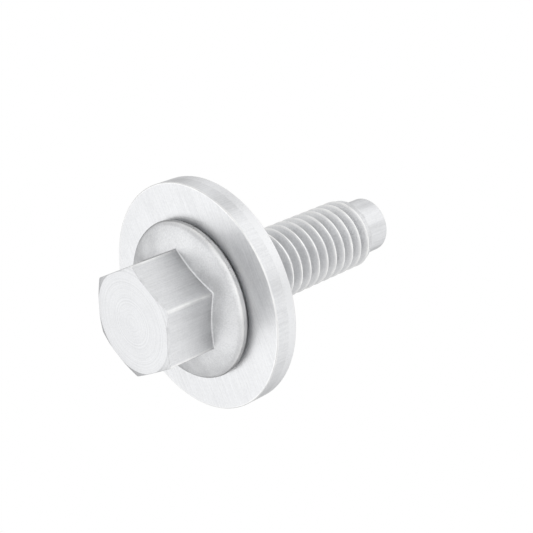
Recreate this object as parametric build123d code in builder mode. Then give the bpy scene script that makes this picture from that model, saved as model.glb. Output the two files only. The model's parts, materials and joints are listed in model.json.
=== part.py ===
from build123d import *
import os
from math import cos, radians, sin, tan

os.makedirs("parts", exist_ok=True)

# Hexagon flange screw with a captive washer, M6 x 20, in millimetres.
# It stands on its head: the end face of the hexagon is at z = 0, centred on the
# origin, and +Z runs along the screw towards the pilot.

# Hexagon head
across_flats = 7.85
head_height = 5.9  # end face to flange seat
hexagon_edge_radius = 0.1  # the six long edges
end_chamfer_angle = 20.5  # measured from the end face

# Flange
flange_diameter = 12.5
flange_rim_radius = 0.5  # the rim is fully round
flange_cone_angle = 20  # measured from the seat
flange_foot_radius = 0.12  # where the hexagon meets the cone

# Shank, measured from the flange seat
screw_length = 20.0
thread_diameter = 5.92
thread_pitch = 1.0
shoulder_radius = 0.33  # rounded end of the thread
pilot_step = 0.64  # radial, thread to pilot
pilot_length = 2.5
pilot_edge_radius = 0.13
neck_foot = 0.12  # bevel where the neck leaves the flange
runout_angle = 45  # cone from the neck up to the thread

# Washer
washer_diameter = 18.0
washer_thickness = 1.9
washer_edge_break = 0.08

# Clearances of the captive washer
washer_hole_clearance = 0.19  # radial, hole to neck
washer_play = 0.15  # along the shank, washer to the start of the thread
washer_mouth_clearance = 0.06  # radial, bevelled mouth of the hole to the thread

# The neck keeps the diameter of the blank, which is the pitch diameter of the
# rolled thread: for a metric thread, that many pitches less than the outer one.
pitch_diameter_drop = 0.6495
neck_radius = (thread_diameter - pitch_diameter_drop * thread_pitch) / 2
thread_radius = thread_diameter / 2
pilot_radius = thread_radius - pilot_step
flange_radius = flange_diameter / 2
flat_distance = across_flats / 2
seat_z = head_height
washer_top_z = seat_z + washer_thickness
runout_z = washer_top_z + washer_play
runout_length = (thread_radius - neck_radius) / tan(radians(runout_angle))
thread_start_z = runout_z + runout_length
tip_z = seat_z + screw_length
shoulder_z = tip_z - pilot_length
washer_hole_radius = neck_radius + washer_hole_clearance
washer_mouth_bevel = thread_radius + washer_mouth_clearance - washer_hole_radius

# Rim circle of the flange and the point where the cone is tangent to it.
rim_centre_r = flange_radius - flange_rim_radius
rim_centre_z = seat_z - flange_rim_radius
cone_slope = tan(radians(flange_cone_angle))
cone_outer_r = rim_centre_r + flange_rim_radius * sin(radians(flange_cone_angle))
cone_outer_z = rim_centre_z - flange_rim_radius * cos(radians(flange_cone_angle))
# The cone runs on inside the hexagon, short of its flats.
cone_overlap = 0.8
cone_inner_r = flat_distance - cone_overlap
cone_inner_z = cone_outer_z - (cone_outer_r - cone_inner_r) * cone_slope

# The chamfer begins on the circle inside the flats and runs out past the corners.
corner_distance = flat_distance / cos(radians(30))
chamfer_drop = (corner_distance - flat_distance) * tan(radians(end_chamfer_angle))
# The hexagon ends inside the flange.
hexagon_length = rim_centre_z

with BuildPart() as screw:
    # Hexagon with two flats facing +X and -X.
    with BuildSketch(Plane.XY):
        RegularPolygon(
            radius=flat_distance, side_count=6, major_radius=False, rotation=30
        )
        fillet(vertices(), radius=hexagon_edge_radius)
    extrude(amount=hexagon_length)
    # The turned chamfer trims the six corners at the end face.
    with BuildSketch(Plane.XZ):
        with BuildLine():
            Polyline(
                (0, 0),
                (flat_distance, 0),
                (corner_distance, chamfer_drop),
                (corner_distance, hexagon_length),
                (0, hexagon_length),
                close=True,
            )
        make_face()
    revolve(axis=Axis.Z, mode=Mode.INTERSECT)

    # Flange: cone, fully round rim and flat seat.
    with BuildSketch(Plane.XZ):
        with BuildLine():
            Line((0, cone_inner_z), (cone_inner_r, cone_inner_z))
            Line((cone_inner_r, cone_inner_z), (cone_outer_r, cone_outer_z))
            CenterArc(
                (rim_centre_r, rim_centre_z),
                flange_rim_radius,
                flange_cone_angle - 90,
                180 - flange_cone_angle,
            )
            Line((rim_centre_r, seat_z), (0, seat_z))
            Line((0, seat_z), (0, cone_inner_z))
        make_face()
    revolve(axis=Axis.Z)
    foot_edges = screw.edges().filter_by_position(
        Axis.Z,
        cone_inner_z,
        cone_outer_z,
        inclusive=(False, False),
    )
    fillet(foot_edges, radius=flange_foot_radius)

    # Neck, thread cylinder with its rounded shoulder, and pilot.
    with BuildSketch(Plane.XZ):
        with BuildLine():
            Polyline(
                (0, rim_centre_z),
                (neck_radius + neck_foot, rim_centre_z),
                (neck_radius + neck_foot, seat_z),
                (neck_radius, seat_z + neck_foot),
                (neck_radius, runout_z),
                (thread_radius, thread_start_z),
                (thread_radius, shoulder_z),
                (pilot_radius, shoulder_z),
                (pilot_radius, tip_z),
                (0, tip_z),
                close=True,
            )
        make_face()
    revolve(axis=Axis.Z)
    shoulder_circles = screw.edges().filter_by_position(
        Axis.Z, shoulder_z, shoulder_z
    )
    fillet(shoulder_circles.sort_by(SortBy.RADIUS)[-1], radius=shoulder_radius)
    tip_circle = screw.faces().sort_by(Axis.Z)[-1].edges()
    fillet(tip_circle, radius=pilot_edge_radius)

screw.part.label = "screw"
export_step(screw.part, "parts/screw.step")

with BuildPart() as washer:
    with BuildSketch(Plane.XY.offset(seat_z)):
        Circle(washer_diameter / 2)
        Circle(washer_hole_radius, mode=Mode.SUBTRACT)
    extrude(amount=washer_thickness)
    circles = washer.edges().filter_by(GeomType.CIRCLE).group_by(SortBy.RADIUS)
    chamfer(circles[-1], length=washer_edge_break)
    # The hole is narrower than the thread, which holds the washer on the neck, and
    # its bevelled mouths leave the flat faces wider than the thread.
    chamfer(circles[0], length=washer_mouth_bevel)

washer.part.label = "washer"
export_step(washer.part, "parts/washer.step")
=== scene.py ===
import json
import math

import bmesh
import bpy
from mathutils import Matrix, Vector


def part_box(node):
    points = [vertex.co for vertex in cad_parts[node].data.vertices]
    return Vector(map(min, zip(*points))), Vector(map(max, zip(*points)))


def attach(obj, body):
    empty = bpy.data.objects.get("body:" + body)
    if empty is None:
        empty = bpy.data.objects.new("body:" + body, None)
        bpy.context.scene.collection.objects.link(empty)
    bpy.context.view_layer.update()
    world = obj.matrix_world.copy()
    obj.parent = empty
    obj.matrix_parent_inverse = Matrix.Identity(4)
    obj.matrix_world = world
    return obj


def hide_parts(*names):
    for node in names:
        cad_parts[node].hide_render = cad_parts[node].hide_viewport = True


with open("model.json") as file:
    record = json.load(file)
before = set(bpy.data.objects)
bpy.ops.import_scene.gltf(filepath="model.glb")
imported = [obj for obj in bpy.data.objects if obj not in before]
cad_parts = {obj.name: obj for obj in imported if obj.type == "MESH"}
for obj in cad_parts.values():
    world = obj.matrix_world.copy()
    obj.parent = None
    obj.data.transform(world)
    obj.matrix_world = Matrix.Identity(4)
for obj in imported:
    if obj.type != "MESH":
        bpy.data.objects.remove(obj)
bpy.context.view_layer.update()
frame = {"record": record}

# Looks of a zinc coated M6 flange screw with a captive washer, standing on its head.
# Lengths in the dictionaries are in millimetres, as on a drawing, and angles in degrees.
mm = 0.001
fullTurn = 2 * math.pi

mounts = {m["name"]: m["dims"] for m in frame["record"]["mounts"]}
screwLow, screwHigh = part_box("screw")
washerLow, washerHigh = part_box("washer")
seatZ = washerLow.z / mm
washerTop = washerHigh.z / mm
tipZ = screwHigh.z / mm
flangeRadius = screwHigh.x / mm
washerRadius = washerHigh.x / mm
threadRadius = mounts["thread"]["r_mm"]
pilotRadius = mounts["pilot"]["r_mm"]


# Mesh helpers: a turned form is a grid of columns, with one slice of the form in each

def arcPoints(centre, radius, start, end, steps):
    points = []
    for i in range(steps + 1):
        a = math.radians(start + (end - start) * i / steps)
        points.append((centre[0] + radius * math.cos(a), centre[1] + radius * math.sin(a)))
    return points


def between(start, end, share):
    return (start[0] + (end[0] - start[0]) * share, start[1] + (end[1] - start[1]) * share)


def placeSlice(angle, points):
    # points are (radius, height) pairs
    across = Vector((math.cos(angle), math.sin(angle), 0))
    return [(across * r + Vector((0, 0, z))) * mm for r, z in points]


def addGrid(mesh, columns, closed):
    # all columns are equally long; closed joins the last one to the first
    made = [[mesh.verts.new(p) for p in column] for column in columns]
    last = len(made) if closed else len(made) - 1
    for i in range(last):
        here = made[i]
        there = made[(i + 1) % len(made)]
        for j in range(len(here) - 1):
            mesh.faces.new((here[j], there[j], there[j + 1], here[j + 1]))


def finishPiece(mesh, name):
    # Welds the grids into one closed skin and keeps only its true corners sharp.
    weldDistance = 0.0002
    sharpAngle = 32
    bmesh.ops.remove_doubles(mesh, verts=mesh.verts, dist=weldDistance * mm)
    bmesh.ops.recalc_face_normals(mesh, faces=mesh.faces)
    for face in mesh.faces:
        face.smooth = True
    for edge in mesh.edges:
        edge.smooth = edge.calc_face_angle(0) < math.radians(sharpAngle)
    data = bpy.data.meshes.new(name)
    mesh.to_mesh(data)
    mesh.free()
    piece = bpy.data.objects.new(name, data)
    bpy.context.scene.collection.objects.link(piece)
    weighted = piece.modifiers.new("flatFaceNormals", "WEIGHTED_NORMAL")
    weighted.keep_sharp = True
    return piece


# Screw

screwShape = {
    "acrossFlats": 7.85,
    "hexagonEdge": 0.1,  # radius of the six long edges
    "chamferAngle": 20.5,  # from the end face
    "breakRadius": 0.05,  # turned edges of the head
    "footRadius": 0.12,  # hexagon to flange
    "rimRadius": 0.5,
    "coneAngle": 20.0,
    "neckRadius": 2.635,
    "neckFoot": 0.12,
    "neckPlay": 0.15,  # neck left free beyond the washer
    "pitch": 1.0,
    "crestRadius": 0.05,
    "fadeTurns": 0.9,  # how slowly the thread's root rises to the neck
    "endFade": 0.8,  # the groove closes over this length, up to a whole shoulder
    "shoulderRadius": 0.33,
    "pilotLength": 2.5,
    "pilotEdge": 0.13,
    "flatSteps": 12,  # mesh steps across one flat
    "cornerSteps": 4,  # round one edge of the hexagon
    "breakSteps": (3, 6),  # round the two turned edges of the head
    "footSteps": 5,
    "rimSteps": 14,
    "pilotSteps": 6,
    "faceRows": (0, 0.3, 0.6, 0.85),  # mesh rows on the end face, as shares of its radius
    "wallRows": (0.35, 0.65),  # on the flats
    "coneRows": (0.33, 0.67),  # on the flange cone and on a flank of the thread
    "tipRows": (0.6, 0.3, 0),  # on the end of the pilot
}
threadLow = washerTop + screwShape["neckPlay"]
threadHigh = tipZ - screwShape["pilotLength"]
halfCorner = math.radians(30)  # from the middle of a flat to a corner of the hexagon


def hexagonColumns(shape):
    # Directions round the screw, each with the hexagon's distance from the axis.
    flat = shape["acrossFlats"] / 2
    edge = shape["hexagonEdge"]
    edgeCentre = (flat - edge) / math.cos(halfCorner)
    halfFlat = math.atan2(edgeCentre / 2, flat)
    halfEdge = halfCorner - halfFlat
    columns = []
    for side in range(6):
        middle = 2 * halfCorner * side
        for i in range(shape["flatSteps"]):
            a = halfFlat * (2 * i / shape["flatSteps"] - 1)
            columns.append((middle + a, flat / math.cos(a)))
        for i in range(shape["cornerSteps"]):
            a = halfEdge * (2 * i / shape["cornerSteps"] - 1)
            aside = edgeCentre * math.sin(a)
            reach = edgeCentre * math.cos(a) + math.sqrt(edge ** 2 - aside ** 2)
            columns.append((middle + halfCorner + a, reach))
    return columns


def headSlice(shape, reach):
    # End face, chamfer, flat, flange and neck in one direction.
    flat = shape["acrossFlats"] / 2
    soft = shape["breakRadius"]
    chamfer = math.radians(shape["chamferAngle"])
    turn = shape["chamferAngle"] - 90
    points = [(flat * share, 0) for share in shape["faceRows"]]

    # Both turned edges are rounded. Halfway along a flat the chamfer runs out.
    faceEdge = (flat - soft * math.tan(chamfer / 2), soft)
    wallZ = ((reach - soft - flat) * math.sin(chamfer) + soft) / math.cos(chamfer)
    wallEdge = (reach - soft, wallZ)
    if faceEdge[0] > wallEdge[0]:
        faceEdge = wallEdge = (reach - soft, soft)
    faceSteps, wallSteps = shape["breakSteps"]
    points += arcPoints(faceEdge, soft, -90, turn, faceSteps)
    points += arcPoints(wallEdge, soft, turn, 0, wallSteps)

    cone = math.radians(shape["coneAngle"])
    rim = shape["rimRadius"]
    rimCentre = (flangeRadius - rim, seatZ - rim)
    coneEnd = (rimCentre[0] + rim * math.sin(cone), rimCentre[1] - rim * math.cos(cone))
    foot = shape["footRadius"]
    footR = reach + foot
    footZ = coneEnd[1] - (coneEnd[0] - footR) * math.tan(cone) - foot / math.cos(cone)
    points += [(reach, footZ * share) for share in shape["wallRows"]]
    points += arcPoints((footR, footZ), foot, 180, 90 + shape["coneAngle"], shape["footSteps"])
    footEnd = points[-1]
    points += [between(footEnd, coneEnd, share) for share in shape["coneRows"]]
    points += arcPoints(rimCentre, rim, shape["coneAngle"] - 90, 90, shape["rimSteps"])

    neckR = shape["neckRadius"]
    neckFoot = shape["neckFoot"]
    points += [(neckR + neckFoot, seatZ), (neckR, seatZ + neckFoot), (neckR, threadLow)]
    return points


def threadProfile(shape):
    # One pitch of a metric thread, crest to crest, as (place along the pitch, depth).
    pitch = shape["pitch"]
    crest = shape["crestRadius"]
    root = 0.144 * pitch  # radius at the bottom of the groove
    depth = 0.6134 * pitch
    flank = 30  # degrees from a plane square to the axis
    steps = 3
    crestEnd = pitch / 16 - crest * math.tan(math.radians(flank))
    half = [(0, 0)]
    half += [(u, crest - d) for u, d in arcPoints((crestEnd, 0), crest, 90, flank, steps)]
    rootArc = arcPoints((pitch / 2, 0), root, 180 - flank, 90, steps)
    rootArc = [(u, depth - root + d) for u, d in rootArc]
    half += [between(half[-1], rootArc[0], share) for share in shape["coneRows"]]
    half += rootArc
    return half + [(pitch - u, d) for u, d in reversed(half[1:-1])]


def depthAt(profile, pitch, place):
    # Depth of the groove anywhere along the thread.
    place = place % pitch
    loop = profile + [(pitch, 0)]
    for (u0, d0), (u1, d1) in zip(loop, loop[1:]):
        if place <= u1:
            return d0 + (d1 - d0) * (place - u0) / (u1 - u0)
    return 0


def threadSlice(shape, profile, angle):
    # The rows follow the helix, and stop at the two ends of the thread.
    pitch = shape["pitch"]
    neckR = shape["neckRadius"]
    soft = shape["shoulderRadius"]
    lead = pitch * angle / fullTurn
    turns = math.ceil((threadHigh - threadLow) / pitch)
    deepest = threadRadius - max(d for u, d in profile)
    points = []
    for turn in range(-2, turns + 1):  # some turns spare, cut off at the two ends
        for along, depth in profile:
            free = threadLow + lead + pitch * turn + along
            z = min(max(free, threadLow), threadHigh)
            if z != free:
                depth = depthAt(profile, pitch, z - threadLow - lead)
            # The groove comes up to the neck, and the crests follow cone and shoulder.
            rise = min((z - threadLow) / (shape["fadeTurns"] * pitch), 1)
            root = neckR + (deepest - neckR) * rise
            crest = min(threadRadius, neckR + z - threadLow)
            past = z - (threadHigh - soft)
            if past > 0:
                crest = threadRadius - soft + math.sqrt(soft ** 2 - min(past, soft) ** 2)
            closing = max(1 - (threadHigh - z) / shape["endFade"], 0)
            root += (crest - root) * closing
            points.append((min(crest, max(threadRadius - depth, root)), z))
    return points


def tipSlice(shape, shoulderR):
    # What is left of the shoulder, the pilot and its end.
    edge = shape["pilotEdge"]
    points = [(shoulderR, threadHigh)]
    points += [(pilotRadius, threadHigh), (pilotRadius, (threadHigh + tipZ) / 2)]
    points += arcPoints((pilotRadius - edge, tipZ - edge), edge, 0, 90, shape["pilotSteps"])
    points += [(pilotRadius * share, tipZ) for share in shape["tipRows"]]
    return points


def makeScrew(shape):
    columns = hexagonColumns(shape)
    angles = [angle for angle, reach in columns]
    profile = threadProfile(shape)
    threads = [threadSlice(shape, profile, angle) for angle in angles + [angles[0] + fullTurn]]
    mesh = bmesh.new()
    addGrid(mesh, [placeSlice(a, headSlice(shape, reach)) for a, reach in columns], True)
    addGrid(mesh, [placeSlice(a, t) for a, t in zip(angles + angles[:1], threads)], False)
    addGrid(mesh, [placeSlice(a, tipSlice(shape, t[-1][0])) for a, t in zip(angles, threads)], True)
    return finishPiece(mesh, "screw_forging")


# Washer

washerShape = {
    "holeRadius": 2.825,
    "mouthBevel": 0.195,
    "edgeRadius": 0.08,
    "shearShare": 0.6,  # part of the thickness that the punch cuts before the rest tears
    "columns": 144,
    "edgeSteps": 4,
    "faceRows": (0.25, 0.5, 0.75),
}


def makeWasher(shape):
    hole = shape["holeRadius"]
    bevel = shape["mouthBevel"]
    edge = shape["edgeRadius"]
    mouth = hole + bevel
    steps = shape["edgeSteps"]
    rings = [mouth + (washerRadius - mouth) * share for share in shape["faceRows"]]
    points = [(hole, washerTop - bevel), (hole, seatZ + bevel), (mouth, seatZ)]
    points += [(r, seatZ) for r in rings]
    points += arcPoints((washerRadius - edge, seatZ + edge), edge, -90, 0, steps)
    points += arcPoints((washerRadius - edge, washerTop - edge), edge, 0, 90, steps)
    points += [(r, washerTop) for r in reversed(rings)]
    points += [(mouth, washerTop), points[0]]
    mesh = bmesh.new()
    angles = [fullTurn * i / shape["columns"] for i in range(shape["columns"])]
    addGrid(mesh, [placeSlice(a, points) for a in angles], True)
    return finishPiece(mesh, "washer_disc")


# Node helpers

def addNode(tree, kind, **settings):
    node = tree.nodes.new(kind)
    for name, value in settings.items():
        setattr(node, name, value)
    return node


def feed(tree, socket, value):
    # value is another node's output, or a plain value for the socket itself
    if isinstance(value, bpy.types.NodeSocket):
        tree.links.new(value, socket)
    else:
        socket.default_value = value


def mathNode(tree, operation, *values):
    node = addNode(tree, "ShaderNodeMath", operation=operation)
    for socket, value in zip(node.inputs, values):
        feed(tree, socket, value)
    return node.outputs[0]


def rangeNode(tree, value, fromLow, fromHigh, toLow, toHigh):
    node = addNode(tree, "ShaderNodeMapRange")
    for socket, entry in zip(node.inputs, (value, fromLow, fromHigh, toLow, toHigh)):
        feed(tree, socket, entry)
    return node.outputs[0]


def mixColours(tree, share, first, second):
    node = addNode(tree, "ShaderNodeMix", data_type="RGBA")
    feed(tree, node.inputs["Factor"], share)
    feed(tree, node.inputs["A"], first)
    feed(tree, node.inputs["B"], second)
    return node.outputs["Result"]


def noiseNode(tree, vector, scale, detail, roughness=0.5):
    node = addNode(tree, "ShaderNodeTexNoise")
    feed(tree, node.inputs["Vector"], vector)
    feed(tree, node.inputs["Scale"], scale)
    feed(tree, node.inputs["Detail"], detail)
    feed(tree, node.inputs["Roughness"], roughness)
    return node.outputs["Fac"]


def startGroup(name, inputs, outputs):
    # inputs are (name, default), with None for a vector
    tree = bpy.data.node_groups.new(name, "ShaderNodeTree")
    for label, value in inputs:
        kind = "NodeSocketVector" if value is None else "NodeSocketFloat"
        socket = tree.interface.new_socket(label, in_out="INPUT", socket_type=kind)
        if value is not None:
            socket.default_value = value
    for label in outputs:
        tree.interface.new_socket(label, in_out="OUTPUT", socket_type="NodeSocketFloat")
    return tree, addNode(tree, "NodeGroupInput").outputs, addNode(tree, "NodeGroupOutput").inputs


def placeGroup(tree, group, **values):
    node = addNode(tree, "ShaderNodeGroup", node_tree=group)
    for name, value in values.items():
        feed(tree, node.inputs[name], value)
    return node.outputs


# Effects that both materials use

def makeTurnedPlace():
    # Distance from the axis of the screw, and height along it.
    tree, given, result = startGroup("turnedPlace", [("Vector", None)], ["Radius", "Height"])
    parts = addNode(tree, "ShaderNodeSeparateXYZ")
    feed(tree, parts.inputs[0], given["Vector"])
    across = addNode(tree, "ShaderNodeCombineXYZ")
    feed(tree, across.inputs["X"], parts.outputs["X"])
    feed(tree, across.inputs["Y"], parts.outputs["Y"])
    length = addNode(tree, "ShaderNodeVectorMath", operation="LENGTH")
    feed(tree, length.inputs[0], across.outputs[0])
    feed(tree, result["Radius"], length.outputs["Value"])
    feed(tree, result["Height"], parts.outputs["Z"])
    return tree


def makeCoatingGrain():
    # Crystals of the zinc, and the slow clouding of the bath.
    tree, given, result = startGroup(
        "coatingGrain", [("Vector", None), ("Grain", 0.1), ("Clouds", 1.5)], ["Grain", "Clouds"]
    )
    grainScale = mathNode(tree, "DIVIDE", 1, given["Grain"])
    cloudScale = mathNode(tree, "DIVIDE", 1, given["Clouds"])
    feed(tree, result["Grain"], noiseNode(tree, given["Vector"], grainScale, 3, 0.65))
    feed(tree, result["Clouds"], noiseNode(tree, given["Vector"], cloudScale, 4, 0.6))
    return tree


def makeToolMarks():
    # Rings left by turning, streaks left along the axis, and lines left across by rolling.
    tree, given, result = startGroup(
        "toolMarks",
        [("Vector", None), ("Radius", 0.0), ("Spacing", 0.1)],
        ["Rings", "Streaks", "Lines"],
    )
    rings = addNode(tree, "ShaderNodeTexNoise", noise_dimensions="1D")
    feed(tree, rings.inputs["W"], mathNode(tree, "DIVIDE", given["Radius"], given["Spacing"]))
    feed(tree, rings.inputs["Scale"], 1.0)
    feed(tree, rings.inputs["Detail"], 2.0)
    feed(tree, result["Rings"], rings.outputs["Fac"])
    scale = mathNode(tree, "DIVIDE", 1, given["Spacing"])
    alongAxis = (1, 1, 0.04)
    acrossSheet = (0.03, 1, 1)
    for label, stretch in (("Streaks", alongAxis), ("Lines", acrossSheet)):
        stretched = addNode(tree, "ShaderNodeVectorMath", operation="MULTIPLY")
        feed(tree, stretched.inputs[0], given["Vector"])
        stretched.inputs[1].default_value = stretch
        feed(tree, result[label], noiseNode(tree, stretched.outputs[0], scale, 2))
    return tree


def makeHandlingMarks():
    # Fine scratches from tumbling in the box: thin contour lines of a stretched noise.
    tree, given, result = startGroup(
        "handlingMarks", [("Vector", None), ("Spacing", 2.0), ("Width", 0.012)], ["Scratches"]
    )
    total = 0.0
    oneWay = ((0.6, 0.42, 0.78), (1, 0.12, 1))
    otherWay = ((2.2, 1.54, 2.86), (1, 0.15, 1))
    for turn, stretch in (oneWay, otherWay):
        turned = addNode(tree, "ShaderNodeMapping")
        feed(tree, turned.inputs["Vector"], given["Vector"])
        turned.inputs["Rotation"].default_value = turn
        turned.inputs["Scale"].default_value = stretch
        scale = mathNode(tree, "DIVIDE", 1, given["Spacing"])
        noise = noiseNode(tree, turned.outputs[0], scale, 1)
        off = mathNode(tree, "ABSOLUTE", mathNode(tree, "SUBTRACT", noise, 0.5))
        line = rangeNode(tree, off, 0.0, given["Width"], 1.0, 0.0)
        total = mathNode(tree, "MAXIMUM", total, line)
    feed(tree, result["Scratches"], total)
    return tree


def makeEdgeRub():
    # The edges wear bright in patches.
    tree, given, result = startGroup("edgeRub", [("Vector", None), ("Edge", 0.0)], ["Rub"])
    patchScale = 1.3
    leastRub = 0.4
    noise = noiseNode(tree, given["Vector"], patchScale, 3)
    patches = rangeNode(tree, noise, 0.3, 0.65, leastRub, 1.0)
    feed(tree, result["Rub"], mathNode(tree, "MULTIPLY", given["Edge"], patches))
    return tree


turnedPlace = makeTurnedPlace()
coatingGrain = makeCoatingGrain()
toolMarks = makeToolMarks()
handlingMarks = makeHandlingMarks()
edgeRub = makeEdgeRub()


# Materials

screwFinish = {
    "pale": (0.67, 0.675, 0.685, 1),
    "dull": (0.49, 0.495, 0.505, 1),
    "rubbed": (0.77, 0.77, 0.765, 1),
    "metallic": 1.0,
    "roughnessLow": 0.28,
    "roughnessHigh": 0.38,
    "grain": 0.13,
    "grainTone": 1.0,
    "clouds": 2.2,
    "marks": 0.12,
    "markTone": 0.9,
    "markRoughness": 0.06,  # what the tool marks add
    "rubRoughness": -0.08,  # and what the worn edges take off
    "scratchSpacing": 2.0,
    "scratchWidth": 0.012,
    "grainHeight": 0.003,
    "markHeight": 0.006,
    "scratchHeight": 0.0008,
    "edgeTint": (0.4, 0.4, 0.4, 1),  # darkens the metal where it turns away
}

washerFinish = {
    "pale": (0.67, 0.675, 0.685, 1),
    "dull": (0.49, 0.495, 0.505, 1),
    "rubbed": (0.78, 0.78, 0.775, 1),
    "metallic": 1.0,
    "roughnessLow": 0.27,
    "roughnessHigh": 0.36,
    "grain": 0.13,
    "grainTone": 1.0,
    "clouds": 3.0,
    "marks": 0.12,
    "markTone": 0.9,
    "markRoughness": 0.06,  # what the tool marks add
    "rubRoughness": -0.08,  # and what the worn edges take off
    "scratchSpacing": 2.0,
    "scratchWidth": 0.012,
    "grainHeight": 0.003,
    "markHeight": 0.006,
    "scratchHeight": 0.0008,
    "edgeTint": (0.4, 0.4, 0.4, 1),  # darkens the metal where it turns away
}


def zincCoating(name, finish, markMask, edgeMask):
    # The two masks give the tool marks and the worn edges of the piece.
    material = bpy.data.materials.new(name)
    material.use_nodes = True
    tree = material.node_tree
    tree.nodes.clear()
    scaled = addNode(tree, "ShaderNodeVectorMath", operation="SCALE")
    feed(tree, scaled.inputs[0], addNode(tree, "ShaderNodeTexCoord").outputs["Object"])
    feed(tree, scaled.inputs["Scale"], 1 / mm)
    millimetres = scaled.outputs[0]

    place = placeGroup(tree, turnedPlace, Vector=millimetres)
    radius = place["Radius"]
    height = place["Height"]
    grain = placeGroup(
        tree, coatingGrain, Vector=millimetres, Grain=finish["grain"], Clouds=finish["clouds"]
    )
    tools = placeGroup(
        tree, toolMarks, Vector=millimetres, Radius=radius, Spacing=finish["marks"]
    )
    scratches = placeGroup(
        tree, handlingMarks, Vector=millimetres,
        Spacing=finish["scratchSpacing"], Width=finish["scratchWidth"],
    )["Scratches"]
    edge = edgeMask(tree, radius, height)
    rub = placeGroup(tree, edgeRub, Vector=millimetres, Edge=edge)["Rub"]
    marks = markMask(tree, height, tools, grain)

    tone = mathNode(tree, "MULTIPLY_ADD", grain["Grain"], finish["grainTone"], grain["Clouds"])
    tone = mathNode(tree, "MULTIPLY_ADD", marks, finish["markTone"], tone)
    toneLow = 0.75
    toneHigh = 1.75
    toneShare = rangeNode(tree, tone, toneLow, toneHigh, 0.0, 1.0)
    colour = mixColours(tree, toneShare, finish["dull"], finish["pale"])
    colour = mixColours(tree, rub, colour, finish["rubbed"])

    cloudLow = 0.3
    cloudHigh = 0.7
    roughness = rangeNode(
        tree, grain["Clouds"], cloudLow, cloudHigh,
        finish["roughnessLow"], finish["roughnessHigh"],
    )
    roughness = mathNode(tree, "MULTIPLY_ADD", marks, finish["markRoughness"], roughness)
    roughness = mathNode(tree, "MULTIPLY_ADD", rub, finish["rubRoughness"], roughness)

    relief = mathNode(tree, "MULTIPLY", grain["Grain"], finish["grainHeight"])
    relief = mathNode(tree, "MULTIPLY_ADD", marks, finish["markHeight"], relief)
    relief = mathNode(tree, "MULTIPLY_ADD", scratches, -finish["scratchHeight"], relief)
    bump = addNode(tree, "ShaderNodeBump")
    feed(tree, bump.inputs["Distance"], mm)
    feed(tree, bump.inputs["Height"], relief)

    shader = addNode(tree, "ShaderNodeBsdfPrincipled")
    shader.inputs["Metallic"].default_value = finish["metallic"]
    shader.inputs["Specular Tint"].default_value = finish["edgeTint"]
    feed(tree, shader.inputs["Base Color"], colour)
    feed(tree, shader.inputs["Roughness"], roughness)
    feed(tree, shader.inputs["Normal"], bump.outputs["Normal"])
    output = addNode(tree, "ShaderNodeOutputMaterial")
    tree.links.new(shader.outputs[0], output.inputs["Surface"])
    return material


def largestOf(tree, masks):
    total = masks[0]
    for mask in masks[1:]:
        total = mathNode(tree, "MAXIMUM", total, mask)
    return total


def wornBand(tree, place, edge, width, full):
    # Rises from nothing at a width before the edge to whole wear near it.
    return rangeNode(tree, place, edge - width, edge - full, 0.0, 1.0)


chamferZ = 0.26  # the turned chamfer of the end face lies below this
coneLow = 4.2  # the flange cone meets the flats above this


def screwMarks(tree, height, tools, grain):
    # Turned rings on the end face and chamfer, drawn streaks on the flats and shank,
    # and the coarser skin of the forging on the flange.
    beyond = 1.0
    seatSkin = 0.01
    forged = mathNode(tree, "MULTIPLY", grain["Grain"], grain["Clouds"])
    zones = (
        (tools["Rings"], -beyond, chamferZ),
        (tools["Streaks"], chamferZ, coneLow),
        (mathNode(tree, "MULTIPLY", forged, 2.0), coneLow, seatZ + seatSkin),
        (tools["Streaks"], seatZ + seatSkin, tipZ + beyond),
    )
    total = 0.0
    for marks, low, high in zones:
        middle = (low + high) / 2
        inside = mathNode(tree, "COMPARE", height, middle, (high - low) / 2)
        total = mathNode(tree, "MULTIPLY_ADD", marks, inside, total)
    return total


def screwEdges(tree, radius, height):
    # Corners of the hexagon, rim of the flange, crests of the thread and end of the pilot.
    cornerRadius = screwShape["acrossFlats"] / math.sqrt(3)
    onHexagon = mathNode(tree, "LESS_THAN", height, coneLow)
    corners = wornBand(tree, radius, cornerRadius, 0.12, 0.04)
    rim = wornBand(tree, radius, flangeRadius, 0.15, 0.03)
    onThread = mathNode(tree, "GREATER_THAN", height, threadLow)
    crests = wornBand(tree, radius, threadRadius, 0.16, 0.03)
    atEnd = wornBand(tree, height, tipZ, 0.15, 0.05)
    tip = wornBand(tree, radius, pilotRadius, 0.2, 0.08)
    return largestOf(tree, [
        mathNode(tree, "MULTIPLY", corners, onHexagon),
        mathNode(tree, "MULTIPLY", rim, mathNode(tree, "SUBTRACT", 1, onThread)),
        mathNode(tree, "MULTIPLY", crests, onThread),
        mathNode(tree, "MULTIPLY", tip, atEnd),
    ])


def washerMarks(tree, height, tools, grain):
    # The faces show the rolling of the sheet. The punch leaves streaks on the first part
    # of the rim, and the rest tears off rough.
    edge = washerShape["edgeRadius"]
    tearZ = seatZ + washerShape["shearShare"] * (washerTop - seatZ)
    afterEdge = mathNode(tree, "GREATER_THAN", height, seatZ + edge)
    torn = wornBand(tree, height, tearZ, 0.05, -0.05)
    beforeEdge = mathNode(tree, "LESS_THAN", height, washerTop - edge)
    marks = addNode(tree, "ShaderNodeMix")
    feed(tree, marks.inputs["Factor"], torn)
    feed(tree, marks.inputs["A"], tools["Streaks"])
    feed(tree, marks.inputs["B"], mathNode(tree, "MULTIPLY", grain["Grain"], 2.0))
    marked = addNode(tree, "ShaderNodeMix")
    feed(tree, marked.inputs["Factor"], mathNode(tree, "MULTIPLY", afterEdge, beforeEdge))
    feed(tree, marked.inputs["A"], tools["Lines"])
    feed(tree, marked.inputs["B"], marks.outputs["Result"])
    return marked.outputs["Result"]


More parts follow.
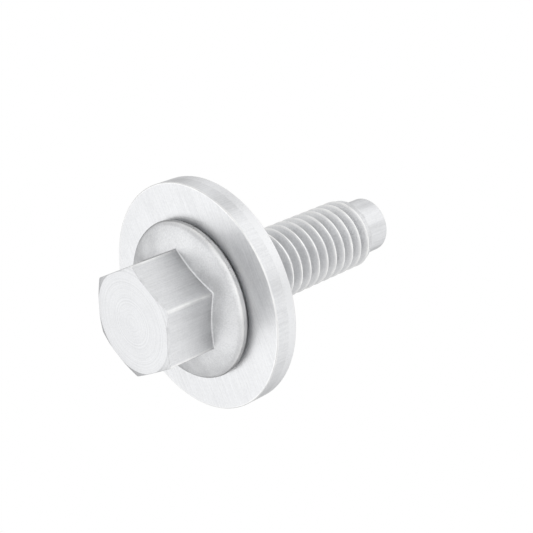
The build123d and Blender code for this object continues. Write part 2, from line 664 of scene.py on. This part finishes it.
def washerEdges(tree, radius, height):
    # The two edges of the rim.
    middle = (seatZ + washerTop) / 2
    half = (washerTop - seatZ) / 2
    aside = mathNode(tree, "ABSOLUTE", mathNode(tree, "SUBTRACT", height, middle))
    nearFace = wornBand(tree, aside, half, 0.15, 0.04)
    nearRim = wornBand(tree, radius, washerRadius, 0.15, 0.04)
    return mathNode(tree, "MULTIPLY", nearFace, nearRim)


# Studio

studio = {
    "ambient": 0.35,  # world light on the object; it shows as plain white
    "floorGap": 0.05,
    "floorSize": 3000,
    "floorColour": (0.87, 0.87, 0.87, 1),  # the part of its white that a shadow darkens
    "floorGlow": 0.46,
}

# Each lamp shines along its azimuth and elevation; the spread makes it as soft as a panel.
lamps = {
    "keySun": {"azimuth": 30, "elevation": 50, "strength": 0.38, "spread": 60},
    "leftSun": {"azimuth": 135, "elevation": 40, "strength": 0.4, "spread": 60},
    "backSun": {"azimuth": 217, "elevation": 38, "strength": 0.4, "spread": 60},
    "rightSun": {"azimuth": 297, "elevation": 40, "strength": 0.25, "spread": 60},
    "endFaceSun": {"azimuth": 179, "elevation": -51, "strength": 0.46, "spread": 60},
    "frontSun": {"azimuth": 3, "elevation": -40, "strength": 0.5, "spread": 90},
}

viewpoint = {
    "azimuth": 3.44,
    "elevation": -39.61,
    "roll": 67.02,
    "distance": 93.42,
    "aimHeight": 13.72,
    "lens": 79.03,
}


def lookDirection(azimuth, elevation):
    # Azimuth 0 looks along +Y, and a positive elevation looks down on the object.
    a = math.radians(azimuth)
    e = math.radians(elevation)
    return Vector((math.sin(a) * math.cos(e), math.cos(a) * math.cos(e), -math.sin(e)))


def makeWorld(settings):
    world = bpy.data.worlds.new("studioWorld")
    world.use_nodes = True
    bpy.context.scene.world = world
    tree = world.node_tree
    tree.nodes.clear()
    rays = addNode(tree, "ShaderNodeLightPath").outputs
    seen = mathNode(tree, "MAXIMUM", rays["Is Camera Ray"], rays["Is Glossy Ray"])
    seen = mathNode(tree, "MAXIMUM", seen, rays["Is Transmission Ray"])
    background = addNode(tree, "ShaderNodeBackground")
    background.inputs["Color"].default_value = (1, 1, 1, 1)
    strength = rangeNode(tree, seen, 0.0, 1.0, settings["ambient"], 1.0)
    feed(tree, background.inputs["Strength"], strength)
    output = addNode(tree, "ShaderNodeOutputWorld")
    tree.links.new(background.outputs[0], output.inputs["Surface"])


def makeFloor(settings):
    # The floor shows from above only, so that the head can be seen from below.
    half = settings["floorSize"] / 2 * mm
    z = -settings["floorGap"] * mm
    data = bpy.data.meshes.new("floor")
    corners = [(-half, -half, z), (half, -half, z), (half, half, z), (-half, half, z)]
    data.from_pydata(corners, [], [(0, 1, 2, 3)])
    floor = bpy.data.objects.new("floor", data)
    bpy.context.scene.collection.objects.link(floor)
    material = bpy.data.materials.new("paleFloor")
    material.use_nodes = True
    tree = material.node_tree
    tree.nodes.clear()
    cameraRay = addNode(tree, "ShaderNodeLightPath").outputs["Is Camera Ray"]
    below = addNode(tree, "ShaderNodeNewGeometry").outputs["Backfacing"]
    shown = mathNode(tree, "MULTIPLY", cameraRay, mathNode(tree, "SUBTRACT", 1, below))
    clear = addNode(tree, "ShaderNodeBsdfTransparent")
    pale = addNode(tree, "ShaderNodeBsdfDiffuse")
    pale.inputs["Color"].default_value = settings["floorColour"]
    glow = addNode(tree, "ShaderNodeEmission")
    glow.inputs["Strength"].default_value = settings["floorGlow"]
    both = addNode(tree, "ShaderNodeAddShader")
    tree.links.new(pale.outputs[0], both.inputs[0])
    tree.links.new(glow.outputs[0], both.inputs[1])
    mixed = addNode(tree, "ShaderNodeMixShader")
    feed(tree, mixed.inputs["Fac"], shown)
    tree.links.new(clear.outputs[0], mixed.inputs[1])
    tree.links.new(both.outputs[0], mixed.inputs[2])
    output = addNode(tree, "ShaderNodeOutputMaterial")
    tree.links.new(mixed.outputs[0], output.inputs["Surface"])
    data.materials.append(material)


def addSun(name, settings):
    lamp = bpy.data.lights.new(name, "SUN")
    lamp.energy = settings["strength"]
    lamp.angle = math.radians(settings["spread"])
    sun = bpy.data.objects.new(name, lamp)
    shines = lookDirection(settings["azimuth"], settings["elevation"])
    sun.rotation_euler = shines.to_track_quat("-Z", "Y").to_euler()
    bpy.context.scene.collection.objects.link(sun)


def addCamera(view):
    forward = lookDirection(view["azimuth"], view["elevation"])
    level = forward.cross(Vector((0, 0, 1))).normalized()
    upright = level.cross(forward)
    roll = math.radians(view["roll"])
    right = level * math.cos(roll) + upright * math.sin(roll)
    up = upright * math.cos(roll) - level * math.sin(roll)
    turn = Matrix((right, up, -forward)).transposed().to_4x4()
    place = (Vector((0, 0, view["aimHeight"])) - forward * view["distance"]) * mm
    data = bpy.data.cameras.new("photoCamera")
    data.sensor_width = 36
    data.lens = view["lens"]
    data.clip_start = 0.001
    camera = bpy.data.objects.new("photoCamera", data)
    camera.matrix_world = Matrix.Translation(place) @ turn
    bpy.context.scene.collection.objects.link(camera)
    bpy.context.scene.camera = camera


# Assembly

addCamera(viewpoint)
print("camera placed")

screw = makeScrew(screwShape)
screw.data.materials.append(zincCoating("zincOnForging", screwFinish, screwMarks, screwEdges))
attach(screw, "screw")
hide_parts("screw")
print("screw made,", len(screw.data.polygons), "faces")

washer = makeWasher(washerShape)
washer.data.materials.append(zincCoating("zincOnSheet", washerFinish, washerMarks, washerEdges))
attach(washer, "washer")
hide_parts("washer")
print("washer made,", len(washer.data.polygons), "faces")

makeWorld(studio)
makeFloor(studio)
for lampName, lampSettings in lamps.items():
    addSun(lampName, lampSettings)
bpy.context.scene.view_settings.view_transform = "Standard"
print("studio lit")
